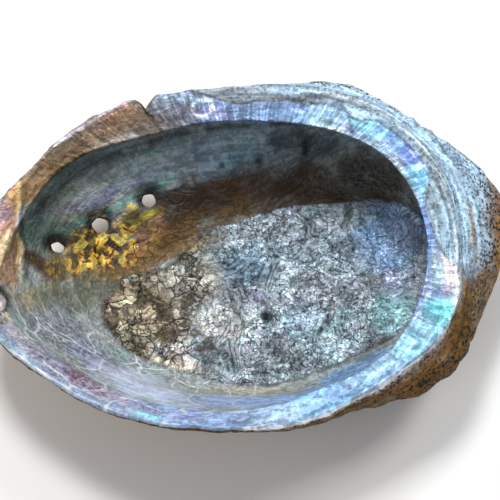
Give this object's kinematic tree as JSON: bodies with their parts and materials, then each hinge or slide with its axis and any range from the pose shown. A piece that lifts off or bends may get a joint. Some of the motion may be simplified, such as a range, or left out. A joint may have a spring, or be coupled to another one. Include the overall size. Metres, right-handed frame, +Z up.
{
  "type": "abalone shell",
  "caption": "Ear-shaped abalone shell lying on its back, mouth up, with a pearly bowl, a flat inner shelf and a row of open pores.",
  "frame": {"origin": "middle of the shell's length and width, on the surface that the shell lies on", "axes": "+X along the shell's length, towards the spire; +Y across it, towards the flat inner shelf and the row of pores; +Z up, out of the shell's mouth"},
  "size_m": [0.2056, 0.1462, 0.0562],
  "materials": {
    "nacre": "pearly mother-of-pearl inside, dull crusted outside"
  },
  "bodies": {
    "root": {"shell": "nacre"}
  },
  "joints": []
}
